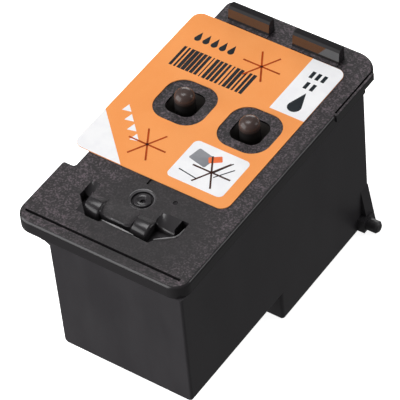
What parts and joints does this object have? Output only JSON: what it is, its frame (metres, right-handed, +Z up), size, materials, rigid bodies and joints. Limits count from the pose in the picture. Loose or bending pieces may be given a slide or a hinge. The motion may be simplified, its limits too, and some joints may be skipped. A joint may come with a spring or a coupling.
{
  "type": "inkjet printhead",
  "caption": "Black ink cartridge printhead with a stepped tank, nozzle nose, lid with catch pocket and rear hooks, guide posts in wells and an orange peel label.",
  "frame": {"origin": "centre of the nozzle plate's outer face, on the underside of the nose", "axes": "+Z up from the nozzle face to the lid, +Y from the front of the tank to the contact wall at the rear, +X to the right when seen from the front"},
  "size_m": [0.0387, 0.0627, 0.0374],
  "materials": {
    "tank": "satin",
    "lid": "textured",
    "film": "satin",
    "post": "gloss",
    "seal": "matte",
    "foam": "matte",
    "mesh": "woven",
    "silicon": "polished",
    "plate": "gloss",
    "bond": "matte",
    "circuit": "satin",
    "gold": "polished",
    "resin": "gloss"
  },
  "bodies": {
    "root": {"tank_body": "tank", "top_lid": "lid", "peel_label": "film", "guide_post_left": "post", "guide_post_right": "post", "inlet_seal_rear": "seal", "inlet_seal_left": "seal", "inlet_seal_right": "seal", "ink_foam_left": "foam", "ink_foam_right": "foam", "ink_foam_rear": "foam", "outlet_filter_left": "mesh", "outlet_filter_right": "mesh", "outlet_filter_rear": "mesh", "die_adhesive": "bond", "silicon_die": "silicon", "nozzle_plate": "plate", "flex_circuit": "circuit", "contact_pads": "gold", "encapsulant_front": "resin", "encapsulant_rear": "resin"}
  },
  "joints": []
}
